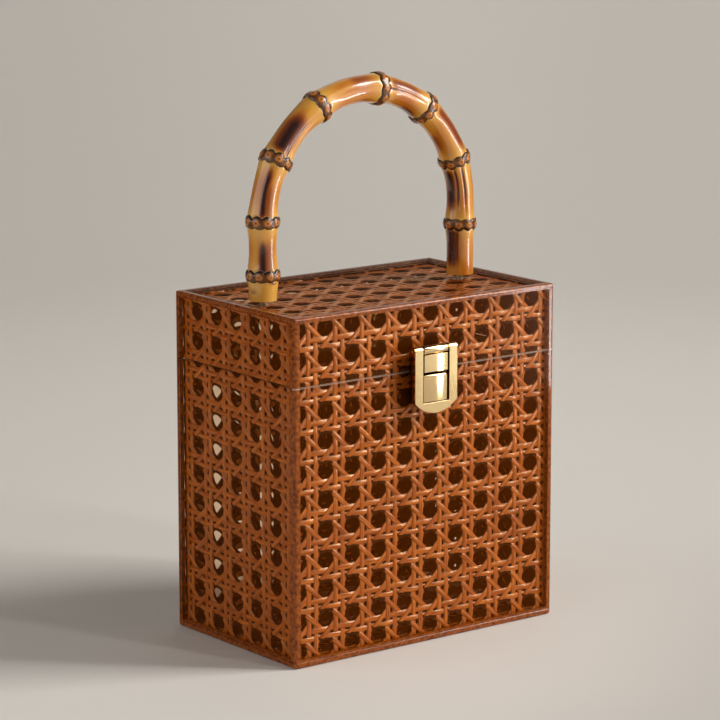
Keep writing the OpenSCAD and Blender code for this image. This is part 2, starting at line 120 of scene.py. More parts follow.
# %% Wires and finishes
class Wire:
    """One output of a node, with the arithmetic that shader maths needs."""

    def __init__(self, finish, socket):
        self.finish = finish
        self.socket = socket

    def math(self, operation, *values):
        return self.finish.node("ShaderNodeMath", {"operation": operation}, values)

    def __add__(self, other):
        return self.math("ADD", self, other)

    def __sub__(self, other):
        return self.math("SUBTRACT", self, other)

    def __rsub__(self, other):
        return self.math("SUBTRACT", other, self)

    def __mul__(self, other):
        return self.math("MULTIPLY", self, other)

    def __abs__(self):
        return self.math("ABSOLUTE", self)

    def largest(self, other):
        return self.math("MAXIMUM", self, other)

    __radd__ = __add__
    __rmul__ = __mul__


class Finish:
    """One procedural material."""

    def __init__(self, name):
        self.material = bpy.data.materials.new(name)
        self.material.use_nodes = True
        self.tree = self.material.node_tree
        self.tree.nodes.clear()

    def node(self, kind, settings=None, inputs=(), output=0):
        """Any node: its type, its settings, then the values or links of its sockets."""
        made = self.tree.nodes.new(kind)
        for name, value in (settings or {}).items():
            setattr(made, name, value)
        pairs = inputs.items() if isinstance(inputs, dict) else enumerate(inputs)
        for key, value in pairs:
            if isinstance(value, Wire):
                self.tree.links.new(value.socket, made.inputs[key])
            else:
                made.inputs[key].default_value = value
        return Wire(self, made.outputs[output]) if made.outputs else None

    def place(self):
        return self.node("ShaderNodeTexCoord", output="Object")

    def axes(self, vector):
        split = self.node("ShaderNodeSeparateXYZ", inputs=(vector,))
        outputs = split.socket.node.outputs
        return [Wire(self, outputs[axis]) for axis in "XYZ"]

    def vector(self, x, y, z):
        return self.node("ShaderNodeCombineXYZ", inputs=(x, y, z))

    def attribute(self, name):
        return self.node("ShaderNodeAttribute", {"attribute_name": name}, output="Fac")

    def noise(self, vector, scale, detail=2.0, roughness=0.5):
        inputs = {"Vector": vector, "Scale": scale, "Detail": detail, "Roughness": roughness}
        return self.node("ShaderNodeTexNoise", inputs=inputs, output="Fac")

    def step(self, value, low, high):
        """Rises smoothly from 0 to 1 as the value goes from low to high."""
        inputs = {"Value": value, "From Min": low, "From Max": high}
        return self.node("ShaderNodeMapRange", {"interpolation_type": "SMOOTHSTEP"}, inputs)

    def mix(self, share, first, second):
        inputs = {0: share, 6: first, 7: second}
        return self.node("ShaderNodeMix", {"data_type": "RGBA"}, inputs, output=2)

    def bump(self, height, strength, distance):
        inputs = {"Height": height, "Strength": strength, "Distance": distance}
        return self.node("ShaderNodeBump", inputs=inputs)

    def surface(self, **inputs):
        """A Principled shader, its sockets named with _ for a space."""
        named = {key.replace("_", " "): value for key, value in inputs.items()}
        return self.node("ShaderNodeBsdfPrincipled", inputs=named)

    def done(self, shader):
        self.node("ShaderNodeOutputMaterial", inputs={"Surface": shader})
        return self.material


def colour(red, green, blue):
    """A colour as a picture shows it, from 0 to 255, made linear for a shader."""
    parts = [part / 255 for part in (red, green, blue)]
    linear = [p / 12.92 if p < 0.04045 else ((p + 0.055) / 1.055) ** 2.4 for p in parts]
    return [*linear, 1]


print("shader maths is ready")

# %% [markdown]
# ## The stage
# A studio sweep is a sheet of paper that runs over the table and curves up behind the object, so no
# line shows where floor and wall meet. A grid is enough: its rows are moved along the sweep's side
# view. A plain wide table lies just under the paper. The light on a real backdrop is never even, and
# here it falls off to the right and far away, so the paper is painted a little darker there, as
# painted shade.

# %% The sweep
SWEEP_FRONT = 1.3
SWEEP_BACK = 0.9
SWEEP_BEND = 0.7
SWEEP_HEIGHT = 2.4
SWEEP_HALF_WIDTH = 0.6
TABLE_HALF_WIDTH = 3.0
TABLE_DROP = 1 * MM
SWEEP_ROWS = 64


def sweep_point(run):
    """Depth and height of the paper at a length run from its front edge."""
    flat = SWEEP_FRONT + SWEEP_BACK
    arc = SWEEP_BEND * math.pi / 2
    if run < flat:
        return run - SWEEP_FRONT, 0
    if run < flat + arc:
        turn = (run - flat) / SWEEP_BEND
        return SWEEP_BACK + SWEEP_BEND * math.sin(turn), SWEEP_BEND * (1 - math.cos(turn))
    return SWEEP_BACK + SWEEP_BEND, SWEEP_BEND + run - flat - arc


def paper_finish():
    finish = Finish("backdrop_paper")
    x, y, _ = finish.axes(finish.place())
    cloud = finish.noise(finish.place(), 1.6)
    pale = finish.mix(cloud, colour(232, 227, 219), colour(238, 233, 226))
    lateral = x * math.cos(CAMERA_AZIMUTH) + y * math.sin(CAMERA_AZIMUTH)
    away = y * math.cos(CAMERA_AZIMUTH) - x * math.sin(CAMERA_AZIMUTH)
    # Painted shade: the paper darkens to the right, in the far right corner and far away, where its
    # light falls off
    corner = finish.step(lateral - 0.5 * away, 0.08, 0.24)
    far = finish.step(away, 0.5, 1.5)
    painted_falloff = finish.step(lateral, 0.02, 0.30) * 0.35 + corner * 0.55 + far * 0.5
    pale = finish.mix(painted_falloff, pale, colour(196, 191, 184))
    return finish.done(finish.surface(Base_Color=pale, Roughness=0.75, Specular_IOR_Level=0.2))


def stage_piece(name, sheet):
    """Turns a bmesh to face the camera and makes it part of the stage."""
    bmesh.ops.rotate(sheet, verts=sheet.verts, matrix=Matrix.Rotation(CAMERA_AZIMUTH, 3, "Z"))
    mesh = bpy.data.meshes.new(name)
    for face in sheet.faces:
        face.smooth = True
    sheet.to_mesh(mesh)
    sheet.free()
    mesh.materials.append(PAPER)
    stage = bpy.data.objects.new(name, mesh)
    bpy.context.scene.collection.objects.link(stage)
    stage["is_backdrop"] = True
    return stage


def studio_sweep():
    sheet = bmesh.new()
    bmesh.ops.create_grid(sheet, x_segments=1, y_segments=SWEEP_ROWS, size=1)
    length = SWEEP_FRONT + SWEEP_BACK + SWEEP_BEND * math.pi / 2 + SWEEP_HEIGHT
    for vert in sheet.verts:
        depth, height = sweep_point((vert.co.y + 1) / 2 * length)
        vert.co = (vert.co.x * SWEEP_HALF_WIDTH, depth, height)
    return stage_piece("studio_sweep", sheet)


def table():
    """A wide table under the paper. Polished things look past it, at lamps that reach below it."""
    sheet = bmesh.new()
    bmesh.ops.create_grid(sheet, x_segments=1, y_segments=1, size=TABLE_HALF_WIDTH)
    bmesh.ops.translate(sheet, verts=sheet.verts, vec=(0, 0, -TABLE_DROP))
    top = stage_piece("studio_table", sheet)
    top.visible_glossy = False
    top.visible_shadow = False
    return top


PAPER = paper_finish()
print("stage:", [(part.name, len(part.data.polygons)) for part in (studio_sweep(), table())])

# %% [markdown]
# ## The light
# Five soft lamps and a dim sky light the bag. A large window at the right gives form and shadow, and a
# broad card at the left fills the shade. The others are there for polished things, which show what
# stands round them: two narrow strips draw the long streaks on the bamboo, and a front card gives the
# hasp something bright. Seen from a little above, an upright face mirrors what is below the horizon, so
# the card reaches below the table, and the table is left out of reflections.

# %% The lamps
LAMP_TARGET = Vector((0, 0, 110 * MM))
WHITE, WARM, WARMER = (1, 1, 1), (1, 0.97, 0.93), (1, 0.96, 0.9)
# Azimuth and elevation in degrees, distance, width and height, watts and tint of each lamp
LAMPS = {
    "key_window": (55, 36, 2.6, (0.95, 1.15), 48, WARM),
    "tall_strip": (43, 6, 1.6, (0.14, 1.6), 11, WHITE),
    "front_card": (33, -4, 1.9, (1.9, 1.3), 6.2, WARMER),
    "thin_strip": (18, 30, 1.9, (0.12, 0.9), 4, WHITE),
    "fill_card": (-97, 20, 1.6, (2.1, 1.0), 9, WARMER),
}
SKY_TINT, SKY_STRENGTH = (0.95, 0.97, 1, 1), 0.1


def soft_lamp(name, azimuth, elevation, distance, size, watts, tint):
    lamp = bpy.data.lights.new(name, "AREA")
    lamp.shape = "RECTANGLE"
    lamp.size, lamp.size_y = size
    lamp.energy = watts
    lamp.color = tint
    place = LAMP_TARGET + distance * direction(math.radians(azimuth), math.radians(elevation))
    made = aimed(name, lamp, place, LAMP_TARGET)
    made.visible_camera = False
    return made


for name, row in LAMPS.items():
    soft_lamp(name, *row)
sky = bpy.data.worlds.new("studio_sky")
sky.use_nodes = True
glow = sky.node_tree.nodes["Background"].inputs
glow["Color"].default_value, glow["Strength"].default_value = SKY_TINT, SKY_STRENGTH
bpy.context.scene.world = sky

# %% [markdown]
# ## Cane
# Cane is the polished bark of rattan, cut into narrow strands with a rounded face. The bark is
# glossy, its fibres run along the strand, and its edges are darker, partly from stain and partly as
# painted shade where strands lie against each other. So each strand carries three numbers on its
# points: run, how far along it the point is, across, how far from its middle, and tone, a number of its
# own. The finish reads them, and the grain follows every strand. The dark sheet that comes later,
# painted shade between the strands, carries an across that no strand has, and so it needs no finish of
# its own.

# %% Cane finish
SHADE_SHEET_MARK = 2


def cane_finish():
    finish = Finish("stained_cane")
    run = finish.attribute("run")
    across = finish.attribute("across")
    tone = finish.attribute("tone")
    fibre = finish.noise(finish.vector(run * 90, across * 2.2, tone * 37), 1.0, 3.0, 0.6)
    patch = finish.noise(finish.place(), 55, 2.0)
    light = finish.mix(tone, colour(196, 112, 32), colour(218, 136, 50))
    grain = finish.mix(finish.step(fibre, 0.32, 0.72), colour(140, 66, 12), light)
    mottled = finish.mix(finish.step(patch, 0.45, 0.8) * 0.35, grain, colour(124, 52, 9))
    # Darker strand edges: partly stain, partly painted shade where the strands meet
    edge_stain_and_shade = finish.mix(finish.step(abs(across), 0.6, 1.0) * 0.7, mottled, colour(70, 25, 4))
    # Painted shade: the dark sheet between the strands is near black, matte and without coat
    shade_sheet = finish.step(abs(across), 0.6 * SHADE_SHEET_MARK, 0.9 * SHADE_SHEET_MARK)
    shaded = finish.mix(shade_sheet, edge_stain_and_shade, colour(22, 8, 2))
    shader = finish.surface(
        Base_Color=shaded,
        Roughness=(0.3 + fibre * 0.16).largest(shade_sheet),
        Specular_Tint=colour(255, 214, 170),
        Coat_Weight=0.85 - shade_sheet * 0.85,
        Coat_Roughness=0.12,
        Normal=finish.bump(fibre, 0.25, 0.08 * MM),
    )
    return finish.done(shader)


CANE = cane_finish()
print("finish:", CANE.name)

# %% [markdown]
# ## The six-way weave
# A mat has strands in four directions: upright pairs, level pairs and single strands that slant both
# ways between the openings. On the real mat the upright and level pairs are woven over and under each
# other, one slant runs over the uprights and under the levels, and the other the opposite way. A wave
# along each strand gives exactly that: the same wave with another sign goes over where the other goes
# under. Each strand is a grid rolled into a flat tube with rounded edges, laid past the mat's edge, and
# a bisect along each edge then trims the whole mat, as a knife does.

# %% Sizes of the weave
PITCH_ACROSS = 14.95 * MM
PITCH_UP = 13.56 * MM
UPRIGHT_WIDTH = 2.6 * MM
LEVEL_WIDTH = 2.4 * MM
SLANT_WIDTH = 2.4 * MM
STRAND_THICKNESS = 0.66 * MM
FLATNESS = 0.82
CHINK_ACROSS = 1.3 * MM
CHINK_UP = 1.1 * MM
PAIR_WAVE = 0.22 * MM
SLANT_WAVE = 0.3 * MM
STEPS_PER_PITCH = 10
STRAND_SIDES = 8
OVERRUN = 3 * MM
SHORTEST_SLANT = 0.05
MERGE = 0.001 * MM
CUT_SNAP = 0.0001 * MM
# How far each strand of a pair lies from the middle line between two openings, in pitches
PAIR_ACROSS = (UPRIGHT_WIDTH + CHINK_ACROSS) / 2 / PITCH_ACROSS
PAIR_UP = (LEVEL_WIDTH + CHINK_UP) / 2 / PITCH_UP
clear_across = PITCH_ACROSS * (1 - 2 * PAIR_ACROSS) - UPRIGHT_WIDTH
clear_up = PITCH_UP * (1 - 2 * PAIR_UP) - LEVEL_WIDTH
print(f"openings are {clear_across / MM:.2f} mm wide and {clear_up / MM:.2f} mm high")


# %% One strand
def flattened(share):
    """Squares a circle's sine or cosine, so that a strand gets a flat face and rounded edges."""
    return math.copysign(abs(share) ** FLATNESS, share)


class Mat:
    """One cane mat: where its openings lie, and the strands laid so far."""

    def __init__(self, node, right, up, opening, draw):
        low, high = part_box(node)
        self.right, self.up = Vector(right), Vector(up)
        self.out = self.right.cross(self.up)
        middle = (low + high) / 2
        outward = Vector([abs(part) for part in self.out])
        self.origin = Vector(opening) * (Vector((1, 1, 1)) - outward) + middle * outward
        reach = [(corner - self.origin) for corner in (low, high)]
        self.span = [sorted(part.dot(axis) for part in reach) for axis in (self.right, self.up)]
        self.low, self.high = low, high
        self.draw = draw
        self.mesh = bmesh.new()
        layers = self.mesh.verts.layers.float
        self.run, self.across, self.tone = [layers.new(name) for name in ("run", "across", "tone")]

    def strand(self, start, end, width, lift):
        """Lays one strand from start to end, in pitches from an opening, lifted by a wave along it."""
        pitch = Vector((PITCH_ACROSS, PITCH_UP))
        start, end = Vector(start), Vector(end)
        length = ((end - start) * pitch).length
        steps = max(2, math.ceil(max(abs(part) for part in end - start) * STEPS_PER_PITCH))
        along = ((end - start) * pitch).normalized()
        side = self.out.cross(along.x * self.right + along.y * self.up)
        tone, shift = self.draw.random(), self.draw.random()
        grid = bmesh.ops.create_grid(self.mesh, x_segments=steps, y_segments=STRAND_SIDES, size=0.5)
        for vert in grid["verts"]:
            share = vert.co.x + 0.5
            turn = math.tau * (vert.co.y + 0.5)
            at = start.lerp(end, share)
            place = self.origin + at.x * PITCH_ACROSS * self.right + at.y * PITCH_UP * self.up
            height = lift(at) + STRAND_THICKNESS / 2 * flattened(math.sin(turn))
            vert.co = place + width / 2 * flattened(math.cos(turn)) * side + height * self.out
            vert[self.run] = share * length + shift
            vert[self.across] = math.cos(turn)
            vert[self.tone] = tone


print("a strand has", STEPS_PER_PITCH * STRAND_SIDES, "faces for each opening that it passes")


# %% The four directions of strands
def wave(turns):
    return math.sin(math.tau * turns)


def lay_strands(mat):
    """Fills a mat with its pairs and slants. Openings lie at whole numbers of pitches."""
    (left, right), (bottom, top) = [
        ((low - OVERRUN) / pitch, (high + OVERRUN) / pitch)
        for (low, high), pitch in zip(mat.span, (PITCH_ACROSS, PITCH_UP))
    ]
    for k in range(math.floor(left) - 1, math.ceil(right) + 1):
        for sign in (-1, 1):
            x = k + 0.5 + sign * PAIR_ACROSS
            if left < x < right:
                ends = (x, bottom), (x, top)
                mat.strand(*ends, UPRIGHT_WIDTH, lambda at: -sign * PAIR_WAVE * wave(at.y - 0.5))
    for k in range(math.floor(bottom) - 1, math.ceil(top) + 1):
        for sign in (-1, 1):
            y = k + 0.5 + sign * PAIR_UP
            if bottom < y < top:
                ends = (left, y), (right, y)
                mat.strand(*ends, LEVEL_WIDTH, lambda at: sign * PAIR_WAVE * wave(at.x - 0.5))
    for fall in (1, -1):
        lowest = math.floor(left + min(fall * bottom, fall * top)) - 1
        highest = math.ceil(right + max(fall * bottom, fall * top)) + 1
        for k in range(lowest, highest):
            reach = sorted(fall * (k + 0.5 - x) for x in (left, right))
            low, high = max(bottom, reach[0]), min(top, reach[1])
            if high - low > SHORTEST_SLANT:
                ends = [(k + 0.5 - fall * y, y) for y in (low, high)]
                mat.strand(
                    *ends, SLANT_WIDTH, lambda at: -fall * SLANT_WAVE * math.cos(math.tau * at.x)
                )


def trim(mat):
    """Rolls the strands shut, then cuts the mat along its four edges and closes the cut ends."""
    bmesh.ops.remove_doubles(mat.mesh, verts=mat.mesh.verts, dist=MERGE)
    for axis in (mat.right, mat.up):
        for corner, outward in ((mat.low, -1), (mat.high, 1)):
            positive = Vector([abs(part) for part in axis])
            whole = mat.mesh.verts[:] + mat.mesh.edges[:] + mat.mesh.faces[:]
            cut = bmesh.ops.bisect_plane(
                mat.mesh, geom=whole, dist=CUT_SNAP, clear_outer=True,
                plane_co=corner, plane_no=outward * positive,
            )
            rim = [part for part in cut["geom_cut"] if isinstance(part, bmesh.types.BMEdge)]
            bmesh.ops.holes_fill(mat.mesh, edges=rim, sides=0)
    bmesh.ops.recalc_face_normals(mat.mesh, faces=mat.mesh.faces)


print("over and under: pairs by", PAIR_WAVE / MM, "mm, slants by", SLANT_WAVE / MM, "mm")

# %% [markdown]
# Between the strands a mat looks dark, and only the round openings stay clear. A thin dark sheet gives
# that: it is painted shade, a near-black sheet where the small chinks are in shade. A grid with one
# face to each opening is inset, the inner faces get more corners, these corners move onto a circle, and
# the inner faces go. Hardly any light comes through the front of the real bag, and some does through
# its left side. So the dark sheet also paints the shade inside the bag: in the mats behind the front it
# has narrow openings, the part of the back that lies behind the left side has wide ones, and the lid's
# top is in between.

# %% Sizes of the dark sheet of painted shade
SHADE_SHEET_HOLE = 4.0 * MM
# Narrow openings keep the dark sheet standing for the shade inside the bag
HIDDEN_HOLES = {"right": 0.7 * MM, "back": 1.0 * MM, "top": 2.8 * MM}
# Between these lines the back lets light through, which shows in the openings of the left side
LIT_BACK = (-65 * MM, -4 * MM)
SHADE_SHEET_DEPTH = 0.45 * MM
SHADE_SHEET_THICKNESS = 0.12 * MM
CELL_INSET = 2.5 * MM
HOLE_CUTS = 3


def hole_at(side, middle):
    """How far the opening of the dark sheet of painted shade reaches from its middle."""
    if side == "back" and LIT_BACK[0] < middle.x < LIT_BACK[1]:
        return SHADE_SHEET_HOLE
    return HIDDEN_HOLES.get(side, SHADE_SHEET_HOLE)


print("the backing has an opening of", 2 * SHADE_SHEET_HOLE / MM, "mm in each cell that is seen")


# %% Lay the dark sheet of painted shade between the strands
def centred_inside(mat, cell):
    """Whether the middle of a cell lies on the mat, not past its edges."""
    middle = cell.calc_center_bounds()
    level = [k for k in range(3) if abs(mat.out[k]) < 0.5]
    return all(mat.low[k] <= middle[k] <= mat.high[k] for k in level)


def is_shade_sheet(mat, face):
    return all(vert[mat.across] == SHADE_SHEET_MARK for vert in face.verts)


def lay_shade_sheet(mat, side):
    shape = mat.mesh
    pitches = (PITCH_ACROSS, PITCH_UP)
    first = [math.floor(low / pitch) for (low, high), pitch in zip(mat.span, pitches)]
    last = [math.ceil(high / pitch) for (low, high), pitch in zip(mat.span, pitches)]
    counts = [b - a + 1 for a, b in zip(first, last)]
    grid = bmesh.ops.create_grid(shape, x_segments=counts[0], y_segments=counts[1], size=0.5)
    for vert in grid["verts"]:
        across = (vert.co.x + 0.5) * counts[0] + first[0] - 0.5
        up = (vert.co.y + 0.5) * counts[1] + first[1] - 0.5
        level = mat.origin + across * PITCH_ACROSS * mat.right + up * PITCH_UP * mat.up
        vert.co = level - SHADE_SHEET_DEPTH * mat.out
        vert[mat.across] = SHADE_SHEET_MARK
    cells = [face for face in shape.faces if is_shade_sheet(mat, face)]
    bmesh.ops.inset_individual(shape, faces=cells, thickness=CELL_INSET)
    rims = [edge for cell in cells for edge in cell.edges]
    bmesh.ops.subdivide_edges(shape, edges=rims, cuts=HOLE_CUTS)
    for cell in cells:
        middle = cell.calc_center_bounds()
        for vert in cell.verts:
            vert.co = middle + hole_at(side, middle) * (vert.co - middle).normalized()
    inside = [cell for cell in cells if centred_inside(mat, cell)]
    bmesh.ops.delete(shape, geom=inside, context="FACES")
    sheet = [face for face in shape.faces if is_shade_sheet(mat, face)]
    bmesh.ops.solidify(shape, geom=sheet, thickness=SHADE_SHEET_THICKNESS)


print("the backing is", SHADE_SHEET_THICKNESS / MM, "mm thick")

# %% [markdown]
# ## From a bmesh to a piece
# Every new piece ends the same way: its mesh becomes an object at the origin, takes a finish, rides on
# the body that carries it and stands for the CAD nodes whose place it takes.

# %% Finish a piece
SHARP_ANGLE = math.radians(35)
new_pieces = []


def piece(name, shape, material, body, replaced):
    mesh = bpy.data.meshes.new(name)
    for face in shape.faces:
        face.smooth = True
    shape.to_mesh(mesh)
    shape.free()
    mesh.set_sharp_from_angle(angle=SHARP_ANGLE)
    mesh.materials.append(material)
    made = bpy.data.objects.new(name, mesh)
    bpy.context.scene.collection.objects.link(made)
    even = made.modifiers.new("even_normals", "WEIGHTED_NORMAL")
    even.keep_sharp = True
    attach(made, body)
    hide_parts(*replaced)
    new_pieces.append(made)
    return made


print("an edge over", round(math.degrees(SHARP_ANGLE)), "degrees counts as sharp")

# %% Lay every mat
SIDES = {
    "body": ("front", "back", "left", "right", "base"),
    "lid": ("front", "back", "left", "right", "top"),
}
CARRIERS = {"body": "box", "lid": "lid"}
RIGHT_AND_UP = {
    "front": ((1, 0, 0), (0, 0, 1)),
    "back": ((-1, 0, 0), (0, 0, 1)),
    "left": ((0, -1, 0), (0, 0, 1)),
    "right": ((0, 1, 0), (0, 0, 1)),
    "top": ((1, 0, 0), (0, 1, 0)),
    "base": ((-1, 0, 0), (0, 1, 0)),
}
FRONT_COLUMN = 3.8 * MM
SIDE_COLUMNS = {"left": 2.2 * MM, "right": 6 * MM}
BODY_ROWS = {"front": 6.6 * MM, "left": 6.6 * MM, "back": 1.1 * MM, "right": 10 * MM}
LID_ROW = box_top - 6.2 * MM
LID_SIDE_ROW = box_top - 8.5 * MM
TOP_ROW = 1.5 * MM + PITCH_UP / 2


def opening_of(part, side):
    """One opening of a mat: the place that its weave is counted from."""
    if side in ("top", "base"):
        return FRONT_COLUMN, TOP_ROW, 0
    row = BODY_ROWS[side] if part == "body" else LID_ROW if side == "front" else LID_SIDE_ROW
    return FRONT_COLUMN, SIDE_COLUMNS.get(side, 0), row


def woven_mat(part, side, draw):
    node = f"{part}_{side}_cane"
    mat = Mat(node, *RIGHT_AND_UP[side], opening_of(part, side), draw)
    lay_strands(mat)
    lay_shade_sheet(mat, side)
    trim(mat)
    return piece(f"{part}_{side}_weave", mat.mesh, CANE, CARRIERS[part], [node])


draw = random.Random(7)
for part, sides in SIDES.items():
    for side in sides:
        mat = woven_mat(part, side, draw)
        print(mat.name, len(mat.data.polygons), "faces,", len(mat.data.vertices), "points")

# %% [markdown]
# ## Clear sheet
# The sheets are clear and warm in tone. Seen flat on they vanish, and from the side they are a little
# hazy. Along the glued edges they turn amber brown, and that brown is painted light: it stands for the
# cane that a thick edge bends and mirrors. So the finish mixes a plain window with an amber gloss. The
# gloss is nearly full along the twelve edges of the box, weaker on the thin line where lid and body
# meet, and on the faces it follows the angle of view. On that thin line the colour is a painted
# highlight on the front and painted shade on the other sides. A sheet has two surfaces, so a little
# haze on each is enough.

# %% Clear finish
SIDE_BAND = 2.6 * MM
FACE_BAND = 3.2 * MM
TOP_BAND = 2.2 * MM
BASE_BAND = 3.6 * MM
EDGE_FADE = 0.6 * MM
SEAM_CORE, SEAM_REACH = 0.1 * MM, 0.4 * MM
EDGE_SHARE, SEAM_SHARE, HAZE = 0.92, 0.35, 0.3
seam_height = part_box("lid_front_panel")[0].z


def clear_finish():
    finish = Finish("clear_sheet")
    x, y, z = finish.axes(finish.place())
    near_side = finish.step(abs(x), half_width - SIDE_BAND - EDGE_FADE, half_width - SIDE_BAND)
    near_face = finish.step(abs(y), half_depth - FACE_BAND - EDGE_FADE, half_depth - FACE_BAND)
    near_top = finish.step(z, box_top - TOP_BAND - EDGE_FADE, box_top - TOP_BAND)
    near_end = near_top.largest(1 - finish.step(z, BASE_BAND, BASE_BAND + EDGE_FADE))
    edge = (near_side * near_face).largest(near_side * near_end).largest(near_face * near_end)
    seam = 1 - finish.step(abs(z - seam_height), SEAM_CORE, SEAM_REACH)
    # Painted highlight on the line where lid and body meet: pale on the front, as if lit; on the other
    # sides it is dark, as painted shade
    front = finish.step(-1 * y, half_depth - 3 * MM, half_depth - 2 * MM)
    streak = finish.noise(finish.place(), 520, 3.0, 0.6)
    tinted = finish.mix(streak, colour(168, 76, 8), colour(204, 104, 18))
    # Painted light: along the edges, the brown of the cane that a thick edge bends and mirrors
    painted_edge_refraction = finish.mix(finish.step(streak, 0.3, 0.7), colour(104, 46, 10), colour(172, 90, 26))
    cut = finish.mix(front, colour(60, 26, 8), colour(226, 204, 186))
    amber = finish.mix(seam, finish.mix(edge, tinted, painted_edge_refraction), cut)
    gloss = finish.surface(
        Base_Color=amber,
        Roughness=0.12,
        Specular_IOR_Level=0.1,
        Coat_Weight=edge * 0.35,
        Coat_Roughness=0.03,
    )
    window = finish.node("ShaderNodeBsdfTransparent", inputs={"Color": (1, 0.94, 0.86, 1)})
    glancing = finish.node("ShaderNodeLayerWeight", inputs={"Blend": 0.5}, output="Facing")
    haze = HAZE * glancing * (1 - glancing)
    solid = (edge * EDGE_SHARE).largest(haze).largest(seam * SEAM_SHARE)
    return finish.done(finish.node("ShaderNodeMixShader", inputs=(solid, window, gloss)))


CLEAR = clear_finish()
print("finish:", CLEAR.name)

# %% [markdown]
# ## Softened copies of CAD pieces
# No real edge is perfectly sharp: a sheet's cut edge is flamed, and a plated casting is tumbled. The
# CAD pieces have the right form, so a copy of each one is merged, its flat triangles are dissolved into
# whole faces, and every sharp edge gets a small bevel that catches the light.

# %% Soften a CAD piece
CAD_MERGE = 0.002 * MM
FLAT_ANGLE = math.radians(0.5)
SHEET_BEVEL = 0.7 * MM
SHEET_SEGMENTS = 3


def softened(node, width, segments=2):
    shape = bmesh.new()
    shape.from_mesh(cad_nodes[node].data)
    bmesh.ops.remove_doubles(shape, verts=shape.verts, dist=CAD_MERGE)
    bmesh.ops.dissolve_limit(shape, angle_limit=FLAT_ANGLE, verts=shape.verts, edges=shape.edges)
    closed = [edge for edge in shape.edges if edge.is_manifold]
    sharp = [edge for edge in closed if edge.calc_face_angle() > SHARP_ANGLE]
    bmesh.ops.bevel(
        shape, geom=sharp, offset=width, segments=segments, profile=0.5,
        affect="EDGES", material=-1, clamp_overlap=True,
    )
    return shape


for node in [name for name in cad_nodes if name.endswith("_panel")]:
    body = CARRIERS[node.split("_")[0]]
    shape = softened(node, SHEET_BEVEL, SHEET_SEGMENTS)
    sheet = piece(node.replace("_panel", "_sheet"), shape, CLEAR, body, [node])
    print(sheet.name, len(sheet.data.polygons), "faces")

# %% [markdown]
# ## Bamboo
# The handle is a length of bamboo root, bent over steam into an arch. It swells towards each node,
# where a scalloped collar of old leaf scars runs round it, with a row of little root buds. Above some
# nodes a shallow groove runs up the cane. It is scorched for colour and varnished. A grid rolled along
# the arch gives the tube, and each point's distance from the middle line follows from these marks. The
# marks are also kept on the points, so that the finish can stain them. No two scorched streaks are
# alike, so a table lists them one by one.

# %% Sizes of the handle
ARCH_RADIUS = 57.3 * MM
ARCH_LEG = 34.2 * MM
ARCH_BACK = 1.5 * MM
CANE_RADIUS = 6.3 * MM
FLARE = 0.85 * MM
FLARE_LENGTH = 6 * MM
COLLAR_HALF = 2.5 * MM
COLLAR_RISE = 0.6 * MM
COLLAR_SLOPE = (0.3 * MM, 0.2 * MM)
BUD_RISE = 0.5 * MM
BUD_REACH, PIT_REACH = 1.1 * MM, 0.5 * MM
LINE_DEPTH = 0.22 * MM
UPPER_LINE, LOWER_LINE = 0.55 * MM, 0.32 * MM
SCALLOPS = 9
LUMP_RISE, LUMP_LENGTH = 0.16 * MM, 18 * MM
GROOVE_DEPTH = 0.5 * MM
PALE_REACH = 6.5 * MM
CANE_LENGTH = math.pi * ARCH_RADIUS + 2 * ARCH_LEG
COLLAR_SHARES = (0.045, 0.143, 0.256, 0.388, 0.531, 0.649, 0.777, 0.903)
COLLARS = [share * CANE_LENGTH for share in COLLAR_SHARES]
BAMBOO_SIDES = 128
FINE_STEP = 0.3 * MM
COARSE_STEP = 1.4 * MM
FINE_REACH = 4.2 * MM
print(f"the cane is {CANE_LENGTH / MM:.0f} mm long, with {len(COLLARS)} collars")

# %% Streaks and grooves of the bamboo
# Scorched streaks: the stretch between collars that each one lies in, its middle and half width round
# the cane in degrees, its depth, and where it starts and ends along the stretch, from 0 to 1
STREAKS = [
    (0, -15, 16, 0.55, 0.25, 0.62), (0, -97, 14, 1.00, 0.62, 0.92),
    (1, -54, 15, 1.00, 0.00, 0.78), (1, -74, 24, 0.55, 0.00, 0.80),
    (2, -50, 12, 1.00, 0.02, 0.95), (2, -68, 20, 0.50, 0.00, 0.75),
    (3, -50, 34, 1.00, 0.04, 0.80), (3, -86, 5, 0.90, 0.00, 0.80),
    (4, -36, 26, 0.50, 0.45, 0.98), (4, -140, 14, 0.35, 0.50, 1.00),
    (5, -58, 20, 0.62, 0.05, 0.85), (5, -84, 4, 0.95, 0.00, 0.55),
    (5, -166, 20, 0.90, 0.45, 1.00),
    (6, -66, 20, 0.65, 0.05, 1.00), (6, -170, 22, 0.55, 0.35, 0.90),
    (7, -170, 22, 1.00, 0.05, 0.90), (7, -137, 5, 1.00, 0.05, 0.85),
    (7, -106, 4, 0.95, 0.05, 0.80),
    (8, -166, 27, 1.00, 0.04, 0.96), (8, -140, 6, 0.80, 0.04, 0.90),
    (8, -98, 13, 1.00, 0.70, 0.86),
    # The far side, which the picture does not show
    (1, 112, 22, 0.85, 0.05, 0.80), (2, 138, 15, 0.95, 0.10, 0.90),
    (3, 96, 27, 0.95, 0.05, 0.75), (4, 120, 24, 0.60, 0.20, 0.90),
    (5, 74, 20, 0.75, 0.10, 0.80), (6, 104, 24, 0.90, 0.05, 0.75),
    (7, 62, 18, 0.90, 0.10, 0.90), (8, 70, 22, 0.90, 0.05, 0.80),
]
# Grooves: the stretch, the angle and the half width of each
GROOVES = [(3, -96, 8), (5, -84, 6), (7, -137, 6), (7, -106, 5)]
print(len(STREAKS), "streaks and", len(GROOVES), "grooves")


# %% The marks of a collar
def smooth(value, low, high):
    """Rises smoothly from 0 to 1 as the value goes from low to high."""
    share = min(1, max(0, (value - low) / (high - low)))
    return share * share * (3 - 2 * share)


def bell(distance, reach):
    """1 at no distance, falling off over the reach."""
    return math.exp(-((distance / reach) ** 2))


